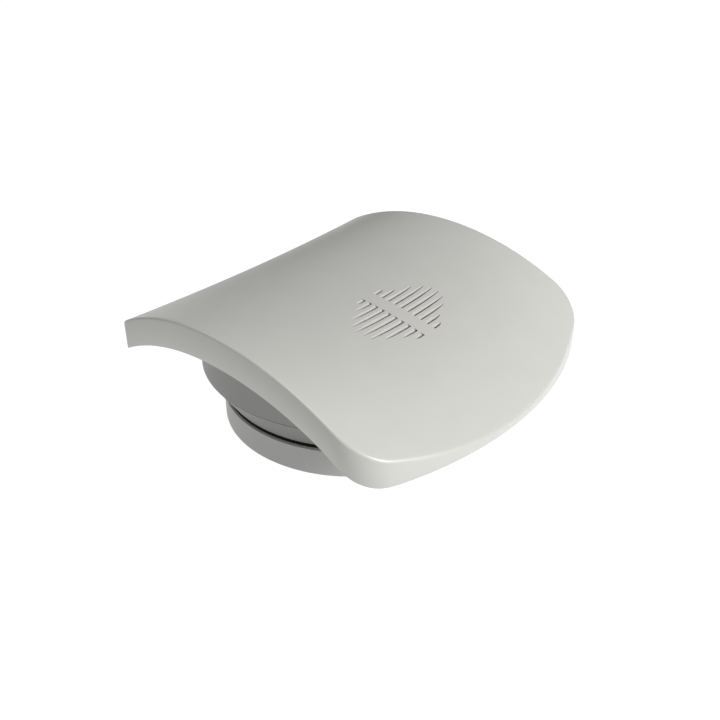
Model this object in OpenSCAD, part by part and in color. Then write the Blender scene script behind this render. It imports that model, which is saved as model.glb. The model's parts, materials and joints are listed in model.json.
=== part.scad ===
// Wireless indoor sounder: saddle-shaped cover over a round dish, on a twist-off wall plate.
// Millimetres. Origin: centre of the wall plate's rear face. +Z points away from the wall.
// +X points to the rounded end of the cover.

/* [Cover] */
// distance from the plate's centre to the straight end of the cover
cover_end_x = 52.6; // [50:0.1:64]
// distance from the plate's centre to the middle of the rounded end
cover_nose_x = 76.1; // [73:0.1:92]
// bulge of the rounded end beyond its corners
cover_bulge = 16.7; // [12:0.1:20]
// half width of the cover at the straight end
cover_half_w_end = 65.5; // [63:0.1:79]
// half width of the cover at the rounded end
cover_half_w_nose = 67.6; // [64:0.1:82]
// corner radius at the rounded end
cover_corner_r = 17; // [10:0.5:22]
// corner radius at the straight end
cover_end_r = 0.8; // [0.4:0.1:3]
// wall thickness of the cover
cover_wall = 2.2; // [1.6:0.1:2.5]
// height of the cover's side walls
cover_side_h = 11.3; // [8:0.1:13]
// rounding of the cover's upper edge
cover_edge_r = 1; // [0.6:0.1:1.8]
// height of the flat lower rim at the rounded end
nose_rim_z = 23.6; // [22:0.1:24.2]
// height of the cover's middle line above the plate's rear face, over its centre
arch_z = 49.6; // [49:0.1:60]
// fall of the middle line from one side of the arch to the other
arch_tilt = 3.74; // [3:0.01:4.5]
// fall of the middle line from the arch at 64 mm out
arch_drop = 10.62; // [9:0.01:11.5]
// how much lower the arch ends on the straight side
arch_skew = 1.42; // [1:0.01:1.8]
// extra fall of the arch at 64 mm out
arch_tail = 3.25; // [2.6:0.01:3.8]
// height of the side edges above the middle line
side_rise = 6.84; // [5:0.01:8]

/* [Slots] */
// distance from the plate's centre to the middle of the slot field
slot_x = 22.1; // [18:0.1:23]
// pitch of the slots
slot_pitch = 2.98; // [2.4:0.01:3.2]
// number of slots each side of the plain band
slot_count = 10; // [6:1:10]
// half width of the plain band between the two rows
slot_band = 3.1; // [2.5:0.1:4]
// width of a slot at its inner end
slot_w = 1.5; // [1:0.1:1.8]
// width of a slot at its outer end
slot_tip = 0.5; // [0.4:0.1:1.2]

/* [Dish] */
// outer radius of the dish under the cover
dish_r = 57.6; // [57:0.1:59]
// height of the dish's lower edge
dish_z = 24.6; // [24.4:0.1:26]
// wall thickness of the dish
dish_wall = 2; // [1.6:0.1:2.2]

/* [Battery tray] */
// step in from the plate's outer face to the lower end of the tray's cone
collar_step = 0.4; // [0.2:0.1:2]
// step in from the dish's outer face to the upper end of the tray's cone
cone_step = 0.2; // [0.1:0.1:1]
// height of the open joint line between the dish and the tray's cone
joint_gap = 0.3; // [0.2:0.1:0.6]
// gap between the cell cage's corners and the spigot, the ring that enters the wall plate
spigot_gap = 0.2; // [0.2:0.1:1]
// gap between the spigot's lower edge and the plate's floor
spigot_lift = 1.2; // [0.8:0.1:1.6]
// wall thickness of the tray
tray_wall = 2; // [1.6:0.1:2]
// diameter of one cell
cell_d = 14.2; // [11.8:0.1:17.1]
// length of one cell body
cell_len = 49; // [40.8:0.1:58.8]

/* [Wall plate] */
// room for the bayonet lugs between the spigot and the plate's wall
lug_room = 3.2; // [2.8:0.1:4]
// height of the wall plate
base_h = 11.3; // [11:0.1:11.4]
// wall thickness of the wall plate
base_wall = 2; // [1.8:0.1:2.2]
// floor thickness of the wall plate
base_floor = 2; // [1.6:0.1:2.4]
// distance between the two wall screws along X
screw_pitch = 60; // [50:1:66]
// diameter of the wall screw holes
screw_hole_d = 4.5; // [3.5:0.1:5]
// twist that frees the head from the wall plate
twist = 35; // [30:1:38]

/* [Sounder] */
// outer radius of the sounder housing
sounder_r = 17.5; // [16:0.1:18]
// height of the sounder housing
sounder_h = 4.6; // [4:0.1:5]

/* [Board] */
// gap between the circuit board and the dish's wall
board_gap = 0.7; // [0.5:0.1:2]
// thickness of the circuit board
board_t = 1.6; // [1:0.1:2]

/* [Hidden] */
$fn = 96;
eps = 0.01;
fit = 0.1;              // gap between parts of one body that lie side by side
run = 0.3;              // gap between the head and the wall plate
arch_l = 64;            // length that the arch heights are given for
rise_mid = 2.8;         // where the sides rise most
rise_l = 63;            // distance from there to where the rise has faded out
rim_drop = 1;           // extra depth of the side wall near the nose corners
rim_blend = 3.8;        // height over which the side rim runs into the nose rim
screw_r = 1.5;          // shank radius of the small screws
head_r = 2.2;           // head radius of the small screws
dish_floor = dish_z + dish_wall;
board_z = dish_floor + 2.4;
board_top = board_z + board_t;
tray_top = dish_z - fit/2;
tray_ceil = tray_top - tray_wall;
cell_z = tray_ceil - 0.6 - cell_d/2;
// cells side by side in a cage; the spigot goes round the cage, and the plate round the spigot
cell_gap = 0.4;
cell_pitch = cell_d + cell_gap;
cage_x = cell_len/2 + 3.6;
cage_y = 2*cell_pitch + 0.4;
cage_t = 1.4;
spigot_r = norm([cage_x + cage_t, cage_y + cage_t]) + spigot_gap + tray_wall;
spigot_z = base_floor + spigot_lift;
base_in = spigot_r + lug_room;
base_r = base_in + base_wall;
collar_r = base_r - collar_step;
seal_t = 1.3;
collar_z = base_h + run + seal_t;
nose_corner_x = cover_nose_x - cover_bulge;

// ---- cover surface ----
function mid_z(x) = let (u = x/arch_l)
    arch_z - arch_tilt*u - arch_drop*u*u + arch_skew*pow(u, 3) - arch_tail*pow(u, 4);
function rise(x) = side_rise*(1 - pow((x - rise_mid)/rise_l, 2));
function half_w(x) = cover_half_w_end + (cover_half_w_nose - cover_half_w_end)
    *(x + cover_end_x)/(nose_corner_x + cover_end_x);
function top_z(x, y) = mid_z(x) + rise(x)*pow(y/half_w(x), 2);
// lower rim: follows the side edge, then runs smoothly into the flat nose rim
function ease(t) = let (k = max(0, min(1, t))) k*k*(3 - 2*k);
function side_rim(x) = mid_z(x) + max(0, rise(x)) - cover_side_h - rim_drop*ease((x - 45)/11);
function rim_z(x) = let (g = side_rim(x) - nose_rim_z)
    nose_rim_z + (g > rim_blend ? g : g < -rim_blend ? 0 : pow(g + rim_blend, 2)/(4*rim_blend));

// ---- cover outline, drawn "d" inside the outer face: half outline from the straight end's middle ----
side_a = atan2(cover_half_w_nose - cover_half_w_end, nose_corner_x + cover_end_x);
bulge_r = (pow(cover_half_w_nose, 2) + pow(cover_bulge, 2))/(2*cover_bulge);
bulge_cx = cover_nose_x - bulge_r;
// centre of the nose corner: cover_corner_r inside the side and inside the bulge arc
corner_line = [-cover_end_x + cover_corner_r*sin(side_a), cover_half_w_end - cover_corner_r*cos(side_a)];
corner_rel = corner_line - [bulge_cx, 0];
corner_b = corner_rel[0]*cos(side_a) + corner_rel[1]*sin(side_a);
corner_c = corner_rel*corner_rel - pow(bulge_r - cover_corner_r, 2);
corner_t = -corner_b + sqrt(corner_b*corner_b - corner_c);
corner_p = corner_line + corner_t*[cos(side_a), sin(side_a)];
corner_end_a = atan2(corner_p[1], corner_p[0] - bulge_cx);
// radius and centre of the straight end's corner, drawn d inside
function end_r(d) = max(cover_end_r - d, 0.2);
function end_c(d) = [-cover_end_x + d + end_r(d), cover_half_w_end - d - end_r(d)];
function at(c, r, a) = [c[0] + r*cos(a), c[1] + r*sin(a)];
function half_outline(d) = let (
    c = end_c(d), s0 = at(c, end_r(d), 90 + side_a), s1 = at(corner_p, cover_corner_r - d, 90 + side_a))
    concat(
        [for (k = [0, 0.4, 0.75]) [-cover_end_x + d, k*c[1]]],
        [for (a = [180, 150, 120]) at(c, end_r(d), a)],
        [for (k = [0:0.125:0.99]) s0 + k*(s1 - s0)],
        [for (k = [0:1/6:0.99]) at(corner_p, cover_corner_r - d, 90 + side_a + k*(corner_end_a - 90 - side_a))],
        [for (k = [0:1/7:0.99]) at([bulge_cx, 0], bulge_r - d, corner_end_a*(1 - k))],
        [[cover_nose_x - d, 0]]);
function outline(d) = let (h = half_outline(d), n = len(h))
    concat(h, [for (i = [n - 2:-1:1]) [h[i][0], -h[i][1]]]);
// ring of 3D points on the outline: the surface lowered by dz, the outline shrunk by s about its middle
cover_mid = [(cover_nose_x - cover_end_x)/2, 0];
function top_ring(d, dz, s = 1) = [for (p = outline(d)) let (q = cover_mid + s*(p - cover_mid))
    [q[0], q[1], top_z(q[0], q[1]) - dz]];
function rim_ring(d) = [for (p = outline(d)) [p[0], p[1], min(rim_z(p[0]), top_z(p[0], p[1]) - cover_wall + eps)]];

// closed skin through rings that run from a top point to a bottom point
module ring_skin(rings, p_top, p_bot) {
    n = len(rings[0]);
    m = len(rings);
    pts = concat([p_top], [for (r = rings) each r], [p_bot]);
    last = len(pts) - 1;
    polyhedron(pts, concat(
        [for (i = [0:n - 1]) [0, 1 + i, 1 + (i + 1)%n]],
        [for (j = [0:m - 2], i = [0:n - 1]) let (a = 1 + j*n + i, b = 1 + j*n + (i + 1)%n) each
            [[a, a + n, b], [b, a + n, b + n]]],
        [for (i = [0:n - 1]) [last, 1 + (m - 1)*n + (i + 1)%n, 1 + (m - 1)*n + i]]), convexity = 6);
}
function tops(d, dz, list) = [for (s = list) top_ring(d, dz, s)];
spread = [0.12, 0.28, 0.44, 0.6, 0.76, 0.9];
function flip(l) = [for (i = [len(l) - 1:-1:0]) l[i]];
module cover_shell() {
    e = cover_edge_r;
    ring_skin(concat(
        tops(e, 0, spread), [top_ring(e, 0), top_ring(0.4*e, 0.18*e), top_ring(0.08*e, 0.55*e), top_ring(0, e)],
        [rim_ring(0), rim_ring(cover_wall)],
        [top_ring(cover_wall, cover_wall + 0.4), top_ring(cover_wall + 0.4, cover_wall)],
        flip(tops(cover_wall + 0.4, cover_wall, spread))),
        [cover_mid[0], 0, top_z(cover_mid[0], 0)], [cover_mid[0], 0, top_z(cover_mid[0], 0) - cover_wall]);
}
// solid of everything between z0 and the cover's surface lowered by dz, over a round patch centred on c
module below_cover(dz, c, r, z0 = 0, n = 36, k = 5) {
    ring_skin(concat([for (j = [1:k]) [for (i = [0:n - 1]) let (
            x = c[0] + j/k*r*cos(360*i/n), y = c[1] - j/k*r*sin(360*i/n)) [x, y, top_z(x, y) - dz]]],
        [[for (i = [0:n - 1]) [c[0] + r*cos(360*i/n), c[1] - r*sin(360*i/n), z0]]]),
        [c[0], c[1], top_z(c[0], c[1]) - dz], [c[0], c[1], z0]);
}

// ---- shared parts ----
// slot reach beyond the band for each slot, from the field's end to its middle
reach = [4.4, 7.9, 14.2, 18.1, 19.6];
function slot_reach(i) = let (k = min(i, slot_count - 1 - i)) reach[min(4, k + max(0, 5 - ceil(slot_count/2)))];
slot_field = (slot_count - 1)/2*slot_pitch;
boss_r = 2.6;
boss_z = dish_floor + 1.2;
dish_flat = cover_end_x - cover_wall - run;
cover_screw_r = dish_r - dish_wall - 3;
cover_screw_x = min(cover_screw_r*cos(40), dish_flat - dish_wall - 3);
cover_screw_p = [for (s = [-1, 1], m = [-1, 1]) [s*cover_screw_x, m*cover_screw_r*sin(40)]];
module at_cover_screws() { for (p = cover_screw_p) translate([p[0], p[1], 0]) children(); }
board_r = min(dish_flat - dish_wall, norm(cover_screw_p[0]) - boss_r) - board_gap;
board_screw_a = [0, 120, 240];
board_screw_r = board_r - 3.4;
module at_board_screws() { for (a = board_screw_a) rotate(a) translate([board_screw_r, 0]) children(); }
// tray screws stand just outside the cell cage
tray_screw_p = [[16, cage_y + cage_t + 3.6], [16, -cage_y - cage_t - 3.6], [cage_x + cage_t + 5.5, 0]];
module at_tray_screws() { for (p = tray_screw_p) translate([p[0], p[1], 0]) children(); }
module tube(r1, r2, h) { difference() { cylinder(r = r1, h = h); translate([0, 0, -1]) cylinder(r = r2, h = h + 2); } }
module sector(r, a0, a1, h) {
    linear_extrude(h) polygon(concat([[0, 0]], [for (k = [0:8]) let (a = a0 + k*(a1 - a0)/8) r*[cos(a), sin(a)]]));
}
module arc_block(r_in, r_out, a0, a1, h) {
    intersection() { tube(r_out, r_in, h); translate([0, 0, -1]) sector(r_out*1.3, a0, a1, h + 2); }
}
// coil spring of wire radius w: closed ends are short flat turns
module coil(r, w, h, turns, n = 14, sides = 6) {
    steps = turns*n;
    pts = [for (k = [0:steps]) let (a = 360*k/n, z = w + (h - 2*w)*k/steps) each
        [for (j = [0:sides - 1]) let (b = 360*j/sides)
            [(r + w*cos(b))*cos(a), (r + w*cos(b))*sin(a), z + w*sin(b)]]];
    polyhedron(pts, concat(
        [[for (j = [0:sides - 1]) j]],
        [for (k = [0:steps - 1], j = [0:sides - 1]) let (p = k*sides + j, q = k*sides + (j + 1)%sides) each
            [[p, p + sides, q], [q, p + sides, q + sides]]],
        [[for (j = [sides - 1:-1:0]) steps*sides + j]]), convexity = 8);
}
module screw(l) {
    cylinder(r = screw_r, h = l);
    translate([0, 0, -1.4]) difference() {
        cylinder(r = head_r, h = 1.4);
        for (a = [0, 90]) rotate(a) translate([-1.3, -0.25, -eps]) cube([2.6, 0.5, 0.8]);
    }
}

// ---- cover ----
module front_cover() color([0.80, 0.80, 0.78]) {
    difference() {
        cover_shell();
        // two rows of slots, wide at the plain band and narrow at their outer ends
        for (i = [0:slot_count - 1], m = [-1, 1]) translate([slot_x - slot_field + i*slot_pitch, 0, arch_z - 20])
            linear_extrude(30) polygon([[-slot_w/2, m*slot_band], [slot_w/2, m*slot_band],
                [slot_tip/2, m*(slot_band + slot_reach(i))], [-slot_tip/2, m*(slot_band + slot_reach(i))]]);
    }
    difference() {
        for (c = cover_screw_p) intersection() {
            translate([c[0], c[1], boss_z]) cylinder(r = boss_r, h = 40);
            below_cover(cover_wall - 0.6, c, boss_r + 1, dish_z, 16, 1);
        }
        at_cover_screws() translate([0, 0, dish_floor]) cylinder(r = screw_r, h = 9);
    }
    // ring that the sounder fits in
    intersection() {
        translate([slot_x, 0, sounder_z + 1]) tube(sounder_r + fit + 1.4, sounder_r + fit, 40);
        below_cover(cover_wall - 0.6, [slot_x, 0], sounder_r + 3, dish_z);
    }
}
// thin mesh sheet that follows the cover's inside over the slot field
mesh_r = sounder_r - 0.6;
module slot_mesh() color([0.25, 0.25, 0.25]) intersection() {
    difference() {
        below_cover(cover_wall + 0.15, [slot_x, 0], mesh_r + 0.5, 25);
        below_cover(cover_wall + 0.55, [slot_x, 0], mesh_r + 1, 20);
    }
    translate([slot_x, 0, 20]) cylinder(r = mesh_r, h = 50);
}

// ---- sounder ----
sounder_z = board_top + 0.4;
disc_z = sounder_z + 1.6;
module sounder_housing() color([0.12, 0.12, 0.12]) translate([slot_x, 0, sounder_z]) difference() {
    cylinder(r = sounder_r, h = sounder_h);
    translate([0, 0, 1.6]) cylinder(r = sounder_r - 1.5, h = sounder_h);
    translate([0, 0, 0.8]) cylinder(r = sounder_r - 4, h = sounder_h);
}
module sounder_disc() color([0.80, 0.65, 0.30]) translate([slot_x, 0, disc_z]) {
    cylinder(r = sounder_r - 1.6, h = 0.3);
    translate([0, 0, 0.3]) cylinder(r = sounder_r - 6, h = 0.25);
}
module sounder_gasket() color([0.1, 0.1, 0.1]) translate([slot_x, 0, disc_z + 0.3])
    tube(sounder_r - 1.6, sounder_r - 3.6, 1.2);

// ---- dish ----
// dish outline drawn "d" inside: a circle cut off where the cover's wall passes
module dish_2d(d) intersection() {
    circle(r = dish_r - d);
    polygon(outline(cover_wall + run + d));
}
module dish() color([0.72, 0.72, 0.71]) difference() {
    union() {
        intersection() {
            translate([0, 0, dish_z]) linear_extrude(40) difference() {
                dish_2d(0);
                dish_2d(dish_wall);
            }
            below_cover(cover_wall + run, [0, 0], dish_r + 1.5, dish_z - 2, 60);
        }
        translate([0, 0, dish_z]) linear_extrude(dish_wall) dish_2d(eps);
        at_cover_screws() translate([0, 0, dish_z]) cylinder(r = boss_r, h = dish_wall + 1.2);
        at_board_screws() translate([0, 0, dish_z]) cylinder(r = 3, h = board_z - dish_z);
        at_tray_screws() translate([0, 0, dish_z]) cylinder(r = 3, h = board_z - dish_z - fit);
    }
    at_cover_screws() {
        translate([0, 0, dish_z - 1]) cylinder(r = screw_r + fit, h = 8);
        translate([0, 0, dish_z - 1]) cylinder(r = head_r + fit, h = 2.5);
    }
    at_board_screws() translate([0, 0, dish_z + 0.8]) cylinder(r = screw_r, h = 8);
    at_tray_screws() translate([0, 0, dish_z - 1]) cylinder(r = screw_r, h = board_z - dish_z);
    // passages for the power header, the tamper spindle and the pairing button
    translate([header_x, 0, dish_z - 1]) translate([-2.5, -6.5, 0]) cube([5, 13, 6]);
    for (p = [tamper_p, pair_p]) translate([p[0], p[1], dish_z - 1]) cylinder(r = guide_r, h = 6);
}

// ---- board ----
header_x = -34;
header_pins = [-4, 0, 4];
whip_a = 255;             // where the antenna rises from the board
tamper_p = [0, cage_y + cage_t + 6];
pair_p = [0, -cage_y - cage_t - 6];
pin_r = 2.2;              // radius of the tamper plunger and of the pairing button
guide_r = 3.4;            // radius of the dish openings over them
module main_board() color([0.05, 0.35, 0.15]) translate([0, 0, board_z]) difference() {
    cylinder(r = board_r, h = board_t);
    at_board_screws() translate([0, 0, -1]) cylinder(r = screw_r + fit, h = 5);
    for (y = header_pins) translate([header_x, y, -1]) cylinder(r = 0.6, h = 5);
}
module radio_module() color([0.75, 0.75, 0.77]) translate([-38, -24, board_top]) {
    cube([13, 18, 0.8]);
    translate([1, 2, 0.8]) cube([11, 12, 1.8]);
}
module controller_chip() color([0.08, 0.08, 0.08]) translate([-18, 8, board_top]) {
    cube([10, 10, 1.4]);
    for (k = [0:7]) for (s = [-0.8, 10]) {
        translate([0.9 + k*1.1, s, 0]) cube([0.5, 0.8, 0.5]);
        translate([s, 0.9 + k*1.1, 0]) cube([0.8, 0.5, 0.5]);
    }
}
module drive_coil() color([0.55, 0.30, 0.10]) translate([-16, -16, board_top]) {
    cylinder(r = 5, h = 0.8);
    cylinder(r = 2.2, h = 6);
    translate([0, 0, 0.8]) cylinder(r = 4.2, h = 4.4);
    translate([0, 0, 5.2]) cylinder(r = 5, h = 0.8);
}
module capacitor() color([0.15, 0.15, 0.35]) translate([-30, 20, board_top]) {
    cylinder(r = 4, h = 7.2);
    translate([0, 0, 7.2]) cylinder(r = 3.4, h = 0.3);
}
module power_header() color([0.85, 0.85, 0.85]) translate([header_x, 0, 0]) {
    translate([-2, -6, tray_ceil]) cube([4, 12, board_z - tray_ceil]);
    for (y = header_pins) translate([0, y, board_z - 0.5]) cylinder(r = 0.5, h = board_t + 1.5);
}
// whip antenna: a wire bent round the edge of the board
module antenna() color([0.8, 0.45, 0.2]) translate([0, 0, board_top]) {
    translate([0, 0, 3]) rotate(whip_a) rotate_extrude(angle = 50) translate([board_r - 1.6, 0])
        circle(r = 0.5, $fn = 24);
    rotate(whip_a) translate([board_r - 1.6, 0, 0]) cylinder(r = 0.5, h = 3, $fn = 24);
}

// ---- battery tray and cells ----
function cell_y(i) = (i - 1.5)*cell_pitch;
cone_top = dish_z - joint_gap;
// cone between the plate and the dish, drawn "d" inside; its roof is as thick as the tray's wall
module cone_solid(d) intersection() {
    translate([0, 0, collar_z + d]) cylinder(r1 = collar_r - d, r2 = dish_r - cone_step - d,
        h = cone_top - collar_z - 2*d);
    translate([0, 0, collar_z - 1]) linear_extrude(30) dish_2d(cone_step + d);
}
module battery_tray() color([0.74, 0.74, 0.73]) difference() {
    union() {
        // cone that spreads from the plate up to the dish, with a flat where the dish has one
        difference() {
            cone_solid(0);
            cone_solid(tray_wall);
            translate([0, 0, collar_z - 1]) cylinder(r = collar_r - tray_wall, h = tray_wall + 2);
            translate([0, 0, tray_ceil - 1]) cylinder(r = spigot_r + 1, h = 1);
        }
        translate([0, 0, collar_z]) tube(collar_r - tray_wall + 0.5, spigot_r - tray_wall, tray_wall);
        translate([0, 0, spigot_z]) tube(spigot_r, spigot_r - tray_wall, collar_z - spigot_z + tray_wall);
        translate([0, 0, tray_ceil]) cylinder(r = spigot_r, h = tray_wall);
        // cage round the cells
        translate([0, 0, spigot_z + 2]) difference() {
            translate([-cage_x - cage_t, -cage_y - cage_t, 0])
                cube([2*(cage_x + cage_t), 2*(cage_y + cage_t), tray_ceil - spigot_z - 2 + eps]);
            translate([-cage_x, -cage_y, -1]) cube([2*cage_x, 2*cage_y, tray_ceil - spigot_z]);
        }
        // guides for the tamper plunger and the pairing button
        for (p = [tamper_p, pair_p]) translate([p[0], p[1], pin_guide_z])
            cylinder(r = guide_r - 0.2, h = tray_ceil - pin_guide_z + eps);
        for (k = [0:2]) rotate(120*k + lug_a) translate([0, 0, lug_z])
            arc_block(spigot_r - eps, lug_r, -lug_half, lug_half, lug_t);
    }
    for (p = [tamper_p, pair_p]) translate([p[0], p[1], spigot_z - 1]) cylinder(r = pin_r + 0.08, h = 30);
    at_tray_screws() {
        translate([0, 0, tray_ceil - 1]) cylinder(r = screw_r + fit, h = cone_top - tray_ceil + 2);
    }
    translate([header_x - 2.5, -6.5, tray_ceil - 1]) cube([5, 13, cone_top - tray_ceil + 2]);
}
module seam_seal() color([0.03, 0.03, 0.03]) translate([0, 0, collar_z - seal_t])
    tube(collar_r - 0.7, spigot_r + fit, seal_t);
module cell(i) {
    translate([-cell_len/2, cell_y(i), cell_z]) rotate([0, 90, 0]) rotate(180) {
        s = i%2;
        translate([0, 0, s == 0 ? 0 : 1]) cylinder(r = cell_d/2, h = cell_len - 1);
        translate([0, 0, s == 0 ? cell_len - 1 : 0]) cylinder(r = 2.7, h = 1);
    }
}
module cell_1() color([0.1, 0.1, 0.12]) cell(0);
module cell_2() color([0.1, 0.1, 0.12]) cell(1);
module cell_3() color([0.1, 0.1, 0.12]) cell(2);
module cell_4() color([0.1, 0.1, 0.12]) cell(3);
plate_t = 0.4;
contact_gap = cage_x - cell_len/2 - plate_t;
// the positive end of cell i lies at +X for even i and at -X for odd i
module contact_plates() color([0.8, 0.8, 0.8]) for (i = [0:3]) {
    for (s = [-1, 1])
        translate([s > 0 ? cage_x - plate_t : -cage_x, cell_y(i) - 5.5, cell_z - 5.5]) cube([plate_t, 11, 11]);
    s = i%2 == 0 ? 1 : -1;
    translate([s*cell_len/2, cell_y(i), cell_z]) rotate([0, s*90, 0]) cylinder(r = 2, h = contact_gap + eps);
}
module contact_springs() color([0.8, 0.8, 0.8]) for (i = [0:3]) {
    s = i%2 == 0 ? -1 : 1;
    translate([s*cell_len/2, cell_y(i), cell_z]) rotate([0, s*90, 0]) coil(3.2, 0.3, contact_gap, 3, 12);
}

// ---- tamper plunger and pairing button: spindles that slide up through the tray ----
pin_guide_z = 12;
pin_top = board_z - 1.8;
plunger_foot = base_floor + run;
button_foot = 5;
module spindle(z0, foot_r, foot_h) {
    translate([0, 0, z0]) cylinder(r = foot_r, h = foot_h);
    translate([0, 0, z0]) cylinder(r = pin_r, h = tray_ceil - z0 + 3.4);
    translate([0, 0, z0]) cylinder(r = 0.9, h = pin_top - z0);
}
module tamper_plunger() color([0.9, 0.9, 0.9]) translate([tamper_p[0], tamper_p[1], 0]) spindle(plunger_foot, 3.8, 1.2);
module pair_button() color([0.9, 0.9, 0.9]) translate([pair_p[0], pair_p[1], 0]) spindle(button_foot, 3.8, 1.2);
module tamper_spring() color([0.7, 0.7, 0.7]) translate([tamper_p[0], tamper_p[1], plunger_foot + 1.2])
    coil(2.9, 0.3, pin_guide_z - plunger_foot - 1.2, 5);
module button_spring() color([0.7, 0.7, 0.7]) translate([pair_p[0], pair_p[1], button_foot + 1.2])
    coil(2.9, 0.3, pin_guide_z - button_foot - 1.2, 4);
// small switches under the board, just over the spindles
module switch_body() {
    translate([-3, -3, board_z - 0.9]) cube([6, 6, 0.9]);
}
module tamper_switch() color([0.1, 0.1, 0.1]) translate([tamper_p[0], tamper_p[1], 0]) switch_body();
module pair_switch() color([0.1, 0.1, 0.1]) translate([pair_p[0], pair_p[1], 0]) switch_body();

// ---- screws ----
module cover_screws() color([0.6, 0.6, 0.6]) at_cover_screws() translate([0, 0, dish_z + 1.5]) screw(7.5);
module board_screws() color([0.6, 0.6, 0.6]) at_board_screws() translate([0, 0, board_top]) rotate([180, 0, 0]) screw(4.5);
module tray_screws() color([0.6, 0.6, 0.6]) at_tray_screws() translate([0, 0, tray_ceil]) screw(5);

// ---- wall plate ----
lug_t = 1.8;
tab_t = 1.6;
lug_r = base_in - 0.5;
tab_z = base_h - tab_t - 0.6;
lug_z = tab_z - run - lug_t;
lug_a = 30;
lug_half = 13;
module wall_plate() color([0.76, 0.76, 0.74]) difference() {
    union() {
        rotate_extrude() polygon([[0, 0], [base_r - 0.4, 0], [base_r, 0.4], [base_r, base_h - 0.6],
            [base_r - 0.6, base_h], [base_in, base_h], [base_in, base_floor], [0, base_floor]]);
        // tabs over the lugs, each with a stop at the locked end
        for (k = [0:2]) rotate(120*k + lug_a) {
            translate([0, 0, tab_z]) arc_block(spigot_r + run + 0.2, base_in + eps, -lug_half, lug_half, tab_t);
            translate([0, 0, base_floor - eps]) arc_block(spigot_r + run + 0.2, base_in + eps,
                -lug_half - 4, -lug_half - 0.5, tab_z + tab_t - base_floor + eps);
        }
        for (k = [0:2]) rotate(120*k + lug_a + twist) translate([0, 0, base_floor - eps])
            arc_block(spigot_r + run + 0.2, base_in + eps, lug_half + 0.5, lug_half + 3.5, 3);
    }
    for (s = [-1, 1]) translate([s*screw_pitch/2, 0, -1]) cylinder(r = screw_hole_d/2, h = 10);
}

front_cover();
slot_mesh();
sounder_housing();
sounder_disc();
sounder_gasket();
dish();
main_board();
radio_module();
controller_chip();
drive_coil();
capacitor();
power_header();
antenna();
battery_tray();
seam_seal();
cell_1();
cell_2();
cell_3();
cell_4();
contact_plates();
contact_springs();
tamper_plunger();
tamper_spring();
tamper_switch();
pair_button();
button_spring();
pair_switch();
cover_screws();
board_screws();
tray_screws();
wall_plate();
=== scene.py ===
"""Looks for the wireless sounder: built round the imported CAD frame, in metres."""
import json
import math

import bpy
import bmesh
from mathutils import Matrix, Vector


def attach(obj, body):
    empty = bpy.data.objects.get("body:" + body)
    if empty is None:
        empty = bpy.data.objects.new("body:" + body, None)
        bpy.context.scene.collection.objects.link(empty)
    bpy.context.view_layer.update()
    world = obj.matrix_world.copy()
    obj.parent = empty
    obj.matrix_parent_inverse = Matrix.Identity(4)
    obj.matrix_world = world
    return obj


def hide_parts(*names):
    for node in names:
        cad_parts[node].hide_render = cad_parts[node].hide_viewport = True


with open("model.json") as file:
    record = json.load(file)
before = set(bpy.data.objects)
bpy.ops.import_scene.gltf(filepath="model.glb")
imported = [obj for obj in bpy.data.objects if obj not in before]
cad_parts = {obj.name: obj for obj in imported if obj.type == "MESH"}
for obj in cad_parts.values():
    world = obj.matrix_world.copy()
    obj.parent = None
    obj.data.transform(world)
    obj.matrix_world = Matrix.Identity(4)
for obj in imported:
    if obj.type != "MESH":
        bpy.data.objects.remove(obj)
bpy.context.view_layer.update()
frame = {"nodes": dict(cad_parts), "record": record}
MM = 0.001


# ---------------------------------------------------------------- sizes, in millimetres
# As in part.scad, apart from the slots' width and section, and SIDE_RISE, which is lower so that the cover
# stays inside the CAD box.
COVER_END_X, COVER_NOSE_X, BULGE = 52.6, 76.1, 16.7
HALF_W_END, HALF_W_NOSE = 65.5, 67.6
CORNER_R, END_R = 17.0, 0.8
WALL, SIDE_H, EDGE_R, NOSE_RIM = 2.2, 11.3, 1.0, 23.6
RIM_DROP, RIM_BLEND = 1.0, 3.8
ARCH = (49.6, 3.74, 10.62, 1.42, 3.25)
SIDE_RISE, RISE_MID, RISE_L, ARCH_L = 6.73, 2.8, 63.0, 64.0
SLOT_X, SLOT_PITCH, SLOT_N, SLOT_BAND = 22.1, 2.98, 10, 3.1
SLOT_W, SLOT_TIP, SLOT_LEAN, SLOT_FALL = 1.65, 0.45, 0.31, 1.1
SLOT_DEPTH, SLOT_ABOVE = 8, 1
REACH = [4.4, 7.9, 14.2, 18.1, 19.6]
NOSE_CORNER_X = COVER_NOSE_X - BULGE


def mid_z(x):
    u = x / ARCH_L
    return ARCH[0] - ARCH[1] * u - ARCH[2] * u * u + ARCH[3] * u ** 3 - ARCH[4] * u ** 4


def rise(x):
    return SIDE_RISE * (1 - ((x - RISE_MID) / RISE_L) ** 2)


def half_w(x):
    return HALF_W_END + (HALF_W_NOSE - HALF_W_END) * (x + COVER_END_X) / (NOSE_CORNER_X + COVER_END_X)


def top_z(x, y):
    return mid_z(x) + rise(x) * (y / half_w(x)) ** 2


def rim_z(x):
    t = max(0.0, min(1.0, (x - 45) / 11))
    gap = mid_z(x) + max(0.0, rise(x)) - SIDE_H - RIM_DROP * t * t * (3 - 2 * t) - NOSE_RIM
    if gap > RIM_BLEND:
        return NOSE_RIM + gap
    if gap < -RIM_BLEND:
        return NOSE_RIM
    return NOSE_RIM + (gap + RIM_BLEND) ** 2 / (4 * RIM_BLEND)


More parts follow.
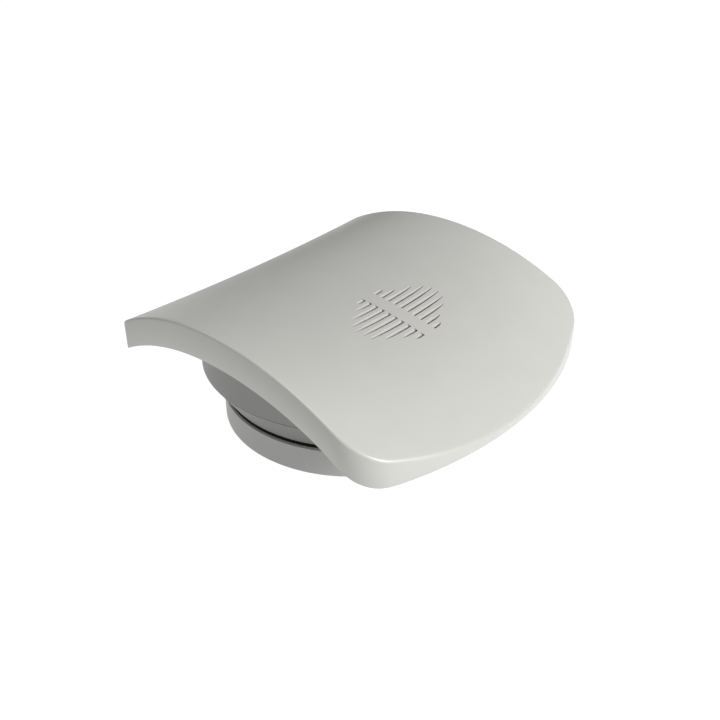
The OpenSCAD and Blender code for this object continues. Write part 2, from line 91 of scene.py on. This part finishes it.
# ---------------------------------------------------------------- cover outline
_sa = math.atan2(HALF_W_NOSE - HALF_W_END, NOSE_CORNER_X + COVER_END_X)
_br = (HALF_W_NOSE ** 2 + BULGE ** 2) / (2 * BULGE)
_bx = COVER_NOSE_X - _br
_lx, _ly = -COVER_END_X + CORNER_R * math.sin(_sa), HALF_W_END - CORNER_R * math.cos(_sa)
_b = (_lx - _bx) * math.cos(_sa) + _ly * math.sin(_sa)
_c = (_lx - _bx) ** 2 + _ly ** 2 - (_br - CORNER_R) ** 2
_t = -_b + math.sqrt(_b * _b - _c)
CP = (_lx + _t * math.cos(_sa), _ly + _t * math.sin(_sa))
CEA = math.atan2(CP[1], CP[0] - _bx)


def polar(c, r, a):
    return (c[0] + r * math.cos(a), c[1] + r * math.sin(a))


def half_outline(d):
    """Half of the cover's outline, d inside its outer face, from the straight end's middle to the nose."""
    side = math.pi / 2 + _sa
    er = max(END_R - d, 0.2)
    ep = (-COVER_END_X + d + er, HALF_W_END - d - er)
    s0, s1 = polar(ep, er, side), polar(CP, CORNER_R - d, side)
    pts = [(-COVER_END_X + d, k * ep[1]) for k in (i / 16 for i in range(16))]
    pts += [polar(ep, er, math.pi + (side - math.pi) * k / 6) for k in range(6)]
    pts += [(s0[0] + k / 28 * (s1[0] - s0[0]), s0[1] + k / 28 * (s1[1] - s0[1])) for k in range(28)]
    pts += [polar(CP, CORNER_R - d, side + (CEA - side) * k / 20) for k in range(20)]
    pts += [polar((_bx, 0), _br - d, CEA * (1 - k / 24)) for k in range(24)]
    pts.append((COVER_NOSE_X - d, 0))
    return pts


def outline(d):
    h = half_outline(d)
    return h + [(x, -y) for x, y in h[-2:0:-1]]


# ---------------------------------------------------------------- mesh helpers
def new_object(name, verts, faces, body, material, slot=None, smooth=math.radians(35)):
    mesh = bpy.data.meshes.new(name)
    mesh.from_pydata([(x * MM, y * MM, z * MM) for x, y, z in verts], [], faces)
    mesh.validate()
    obj = bpy.data.objects.new(name, mesh)
    bpy.context.scene.collection.objects.link(obj)
    fix_normals(obj)
    finish_piece(obj, body, material, smooth)
    return obj


def fix_normals(obj):
    bm = bmesh.new()
    bm.from_mesh(obj.data)
    bmesh.ops.recalc_face_normals(bm, faces=bm.faces)
    bm.to_mesh(obj.data)
    bm.free()


def finish_piece(obj, body, material, smooth):
    obj.data.materials.clear()
    obj.data.materials.append(material)
    set_smooth(obj.data, smooth)
    if body:
        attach(obj, body)


def set_smooth(mesh, angle):
    mesh.polygons.foreach_set("use_smooth", [True] * len(mesh.polygons))
    mesh.set_sharp_from_angle(angle=angle)


def rings_skin(rings, first, last):
    """Closed skin through rings of equal length, from one tip point to another."""
    n = len(rings[0])
    verts = [first] + [p for r in rings for p in r] + [last]
    faces = [(0, 1 + (i + 1) % n, 1 + i) for i in range(n)]
    for j in range(len(rings) - 1):
        a = 1 + j * n
        faces += [(a + i, a + (i + 1) % n, a + n + (i + 1) % n, a + n + i) for i in range(n)]
    a = 1 + (len(rings) - 1) * n
    faces += [(len(verts) - 1, a + i, a + (i + 1) % n) for i in range(n)]
    return verts, faces


def lathe(profile, steps=192):
    """Closed solid turned from (radius, z) points that run round the section."""
    verts, faces, n = [], [], len(profile)
    for k in range(steps):
        a = 2 * math.pi * k / steps
        verts += [(r * math.cos(a), r * math.sin(a), z) for r, z in profile]
    for k in range(steps):
        b = (k + 1) % steps
        faces += [(k * n + i, k * n + (i + 1) % n, b * n + (i + 1) % n, b * n + i) for i in range(n)]
    return verts, faces


def fillet(points, radii, seg=6):
    """Rounds the corners of a closed polygon."""
    out, n = [], len(points)
    for i in range(n):
        p, r = Vector(points[i]), radii[i]
        a, b = Vector(points[i - 1]), Vector(points[(i + 1) % n])
        if r <= 0:
            out.append(tuple(p))
            continue
        u, v = (a - p).normalized(), (b - p).normalized()
        half = math.acos(max(-1, min(1, u.dot(v)))) / 2
        t = min(r / math.tan(half), 0.49 * (a - p).length, 0.49 * (b - p).length)
        r = t * math.tan(half)
        c = p + (u + v).normalized() * (r / math.sin(half))
        s, e = p + u * t - c, p + v * t - c
        a0 = math.atan2(s.y, s.x)
        da = (math.atan2(e.y, e.x) - a0 + math.pi) % (2 * math.pi) - math.pi
        turns = [a0 + da * k / seg for k in range(seg + 1)]
        out += [(c.x + r * math.cos(a), c.y + r * math.sin(a)) for a in turns]
    return out


# ---------------------------------------------------------------- materials
def material(name, color, rough=0.45, metallic=0.0, grain=0.03, grain_scale=900.0, bump=0.03,
             bump_scale=2500.0, specular=0.5, coat=0.0):
    """Procedural moulded or plated finish: slow colour drift, fine roughness break-up and a fine bump."""
    m = bpy.data.materials.new(name)
    m.use_nodes = True
    nt = m.node_tree
    b = nt.nodes["Principled BSDF"]
    b.inputs["Metallic"].default_value = metallic
    b.inputs["Specular IOR Level"].default_value = specular
    b.inputs["Coat Weight"].default_value = coat
    tc = nt.nodes.new("ShaderNodeTexCoord")
    n1 = nt.nodes.new("ShaderNodeTexNoise")
    n1.inputs["Scale"].default_value = grain_scale / 10
    n1.inputs["Detail"].default_value = 4
    nt.links.new(tc.outputs["Object"], n1.inputs["Vector"])
    ramp = nt.nodes.new("ShaderNodeMapRange")
    ramp.inputs["To Min"].default_value = 1 - grain
    ramp.inputs["To Max"].default_value = 1 + grain
    nt.links.new(n1.outputs["Fac"], ramp.inputs["Value"])
    mix = nt.nodes.new("ShaderNodeVectorMath")
    mix.operation = "SCALE"
    mix.inputs[0].default_value = color
    nt.links.new(ramp.outputs["Result"], mix.inputs["Scale"])
    nt.links.new(mix.outputs["Vector"], b.inputs["Base Color"])
    n2 = nt.nodes.new("ShaderNodeTexNoise")
    n2.inputs["Scale"].default_value = bump_scale
    n2.inputs["Detail"].default_value = 3
    nt.links.new(tc.outputs["Object"], n2.inputs["Vector"])
    r2 = nt.nodes.new("ShaderNodeMapRange")
    r2.inputs["To Min"].default_value = rough - 0.05
    r2.inputs["To Max"].default_value = rough + 0.05
    nt.links.new(n2.outputs["Fac"], r2.inputs["Value"])
    nt.links.new(r2.outputs["Result"], b.inputs["Roughness"])
    bp = nt.nodes.new("ShaderNodeBump")
    bp.inputs["Strength"].default_value = bump
    bp.inputs["Distance"].default_value = 0.0002
    nt.links.new(n2.outputs["Fac"], bp.inputs["Height"])
    nt.links.new(bp.outputs["Normal"], b.inputs["Normal"])
    return m


COVER = material("cover_plastic", (0.508, 0.505, 0.480), rough=0.34)
# dish: the cover's pale plastic, darkened to paint the shade that falls under the cover's overhang
DISH_SHADED = material("dish_plastic_painted_shade", (0.275, 0.275, 0.269), rough=0.55)
# tray: the same pale plastic, darkened further to paint the shade under the cover and dish
COLLAR_SHADED = material("tray_plastic_painted_shade", (0.172, 0.172, 0.168), rough=0.55)
PLATE = material("plate_plastic", (0.43, 0.43, 0.422), rough=0.5)
SEAL = material("seal_rubber", (0.004, 0.004, 0.004), rough=0.9, bump=0.1, specular=0.12)

# ---------------------------------------------------------------- cover
MID_X = (COVER_NOSE_X - COVER_END_X) / 2


def top_ring(d, dz, s=1.0):
    out = []
    for x, y in outline(d):
        x, y = MID_X + s * (x - MID_X), s * y
        out.append((x, y, top_z(x, y) - dz))
    return out


def rim_ring(d, dz=0.0):
    return [(x, y, min(rim_z(x), top_z(x, y) - WALL + 0.01) + dz) for x, y in outline(d)]


def cover_mesh():
    spread = [i / 30 for i in range(1, 30)]
    turns = [math.pi / 2 * k / 7 for k in range(8)]
    arc = [(EDGE_R * (1 - math.sin(a)), EDGE_R * (1 - math.cos(a))) for a in turns]
    rings = [top_ring(EDGE_R, 0, s) for s in spread] + [top_ring(d, dz) for d, dz in arc]
    rings += [rim_ring(0, 0.3), rim_ring(0.09, 0.09), rim_ring(0.3, 0)]
    rings += [rim_ring(WALL - 0.3, 0), rim_ring(WALL, 0.3)]
    rings += [top_ring(WALL, WALL + 0.6), top_ring(WALL + 0.2, WALL + 0.15), top_ring(WALL + 0.6, WALL)]
    rings += [top_ring(WALL + 0.6, WALL, s) for s in reversed(spread)]
    z = top_z(MID_X, 0)
    return rings_skin(rings, (MID_X, 0, z), (MID_X, 0, z - WALL))


def slot_cutter():
    """One mesh of twenty slots. Each narrows to its outer end, and its straight-end wall leans back."""
    verts, faces = [], []
    for i in range(SLOT_N):
        x0 = SLOT_X + (i - (SLOT_N - 1) / 2) * SLOT_PITCH
        length = REACH[min(i, SLOT_N - 1 - i)]
        for m in (-1, 1):
            base, stations = len(verts), 16
            for k in range(stations + 1):
                t = k / stations
                y = m * (SLOT_BAND + length * t)
                w = (SLOT_W + (SLOT_TIP - SLOT_W) * t ** 4) / 2
                z, lean = top_z(x0, y), SLOT_LEAN * 2 * w
                section = (
                    (-w + lean, z - SLOT_DEPTH), (-w + lean, z - SLOT_FALL * lean), (-w, z),
                    (-w - 0.04, z + 0.04), (-w - 0.04, z + SLOT_ABOVE),
                    (w + 0.06, z + SLOT_ABOVE), (w + 0.06, z + 0.03), (w, z - 0.05), (w, z - SLOT_DEPTH))
                for dx, zz in section:
                    verts.append((x0 + dx, y, zz))
            n = 9
            for k in range(stations):
                a = base + n * k
                for j in range(n):
                    q = (a + j, a + (j + 1) % n, a + n + (j + 1) % n, a + n + j)
                    faces.append(q if m > 0 else q[::-1])
            last = base + n * stations
            caps = [tuple(range(base, base + n)), tuple(range(last, last + n))]
            faces += [caps[0][::-1] if m > 0 else caps[0], caps[1] if m > 0 else caps[1][::-1]]
    return verts, faces


cover = new_object("cover_shell", *cover_mesh(), None, COVER)
cutter = new_object("cutter", *slot_cutter(), None, COVER)
mod = cover.modifiers.new("slots", "BOOLEAN")
mod.object, mod.operation, mod.solver = cutter, "DIFFERENCE", "EXACT"
bpy.context.view_layer.update()
mesh = bpy.data.meshes.new_from_object(cover.evaluated_get(bpy.context.evaluated_depsgraph_get()))
cover.modifiers.clear()
cover.data = mesh
bpy.data.objects.remove(cutter)
finish_piece(cover, "head", COVER, math.radians(35))
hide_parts("front_cover")

# ---------------------------------------------------------------- seam ring, wider than the CAD seal
SEAL_IN, SEAL_OUT, SEAL_Z0, SEAL_Z1 = 45.3, 49.7, 11.5, 12.9
seal = new_object("seam_ring", *lathe(fillet([(SEAL_IN, SEAL_Z0), (SEAL_OUT, SEAL_Z0), (SEAL_OUT, SEAL_Z1),
                                              (SEAL_IN, SEAL_Z1)], (0.1, 0.15, 0, 0)), 240), None, SEAL)
finish_piece(seal, "head", SEAL, math.radians(35))
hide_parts("seam_seal")

# ---------------------------------------------------------------- finishes for the CAD nodes that stay, with painted shade on the dish and tray
BY_SLOT = {
    "plate_plastic": PLATE,
    "seal_rubber": SEAL,
    "black_plastic": material("black_plastic", (0.022, 0.022, 0.024), rough=0.5),
    "natural_plastic": material("natural_plastic", (0.72, 0.70, 0.64), rough=0.42),
    "mesh": material("dust_mesh", (0.014, 0.014, 0.015), rough=0.85, bump=0.4, bump_scale=4500, specular=0.2),
    "brass_disc": material("brass_disc", (0.72, 0.52, 0.22), rough=0.3, metallic=1.0),
    "board": material("board_mask", (0.012, 0.105, 0.045), rough=0.38, coat=0.3),
    "shield": material("tin_shield", (0.66, 0.66, 0.65), rough=0.32, metallic=1.0),
    "chip": material("chip_epoxy", (0.018, 0.018, 0.019), rough=0.55),
    "ferrite": material("ferrite", (0.045, 0.042, 0.04), rough=0.65, grain=0.12),
    "can": material("capacitor_can", (0.70, 0.71, 0.73), rough=0.28, metallic=1.0),
    "copper": material("copper", (0.78, 0.38, 0.24), rough=0.3, metallic=1.0),
    "spring_steel": material("spring_steel", (0.68, 0.68, 0.66), rough=0.25, metallic=1.0),
    "screw_steel": material("screw_steel", (0.56, 0.56, 0.57), rough=0.34, metallic=1.0),
    "cell_sleeve": material("cell_sleeve", (0.05, 0.09, 0.16), rough=0.3, coat=0.4),
}
# the dish and battery tray take darkened copies of the pale plastic: painted shade under the cover
PAINTED_SHADE_BY_NODE = {"dish": DISH_SHADED, "battery_tray": COLLAR_SHADED}
for part in frame["record"]["subparts"]:
    node = frame["nodes"].get(part["node"])
    if node is not None and part["node"] != "front_cover":
        node.data.materials.clear()
        node.data.materials.append(PAINTED_SHADE_BY_NODE.get(part["node"], BY_SLOT[part["material_slot"]]))

# ---------------------------------------------------------------- floor, light and camera
FLOOR_GLOW, FLOOR_BASE = 1.0, 0.12
AZ, EL, DIST, SENSOR, LENS = 39.719, 30.731, 0.353326, 36, 44.2559
TARGET = Vector((-1.103, 6.2358, 15.2726)) * MM


def add_camera():
    az, el = math.radians(AZ), math.radians(EL)
    back = Vector((math.sin(az) * math.cos(el), -math.cos(az) * math.cos(el), math.sin(el)))
    data = bpy.data.cameras.new("camera")
    data.sensor_width = SENSOR
    data.lens = LENS
    data.clip_start = 0.01
    obj = bpy.data.objects.new("camera", data)
    bpy.context.scene.collection.objects.link(obj)
    turn = (-back).to_track_quat("-Z", "Y").to_matrix().to_4x4()
    obj.matrix_world = Matrix.Translation(TARGET + back * DIST) @ turn
    bpy.context.scene.camera = obj


def area_light(name, location, size, power, color=(1, 1, 1)):
    data = bpy.data.lights.new(name, "AREA")
    data.energy, data.size, data.color = power, size, color
    obj = bpy.data.objects.new(name, data)
    bpy.context.scene.collection.objects.link(obj)
    obj.location = location
    obj.rotation_euler = (Vector((0.01, 0, 0.03)) - Vector(location)).to_track_quat("-Z", "Y").to_euler()
    return obj


def add_floor():
    m = bpy.data.materials.new("floor")
    m.use_nodes = True
    b = m.node_tree.nodes["Principled BSDF"]
    b.inputs["Base Color"].default_value = (FLOOR_BASE, FLOOR_BASE, FLOOR_BASE, 1)
    b.inputs["Roughness"].default_value = 0.9
    b.inputs["Specular IOR Level"].default_value = 0.0
    b.inputs["Emission Color"].default_value = (1, 1, 1, 1)
    b.inputs["Emission Strength"].default_value = FLOOR_GLOW
    mesh = bpy.data.meshes.new("floor")
    s = 6
    mesh.from_pydata([(-s, -s, 0), (s, -s, 0), (s, s, 0), (-s, s, 0)], [], [(0, 1, 2, 3)])
    obj = bpy.data.objects.new("floor", mesh)
    mesh.materials.append(m)
    bpy.context.scene.collection.objects.link(obj)
    obj.location.z = -0.0002


def add_world():
    w = bpy.data.worlds.new("studio")
    bpy.context.scene.world = w
    w.use_nodes = True
    bg = w.node_tree.nodes["Background"]
    bg.inputs["Color"].default_value = (1, 1, 1, 1)
    bg.inputs["Strength"].default_value = WORLD


# name: (azimuth, elevation, distance, size, watts); azimuth 0 faces the near side, 90 the nose
LIGHTS = {"key": (94, 27, 0.9, 0.3, 6.8), "top": (60, 85, 0.9, 0.5, 3.4),
          "back": (160, 45, 0.9, 0.5, 0.3), "left": (-110, 45, 0.9, 0.5, 0.55)}
WORLD = 0.08


def add_lights():
    for name, (az, el, dist, size, watts) in LIGHTS.items():
        a, e = math.radians(az), math.radians(el)
        flat = dist * math.cos(e)
        area_light(name, (flat * math.sin(a), -flat * math.cos(a), dist * math.sin(e)), size, watts)


add_camera()
add_floor()
add_world()
add_lights()
bpy.context.scene.view_settings.view_transform = "Standard"
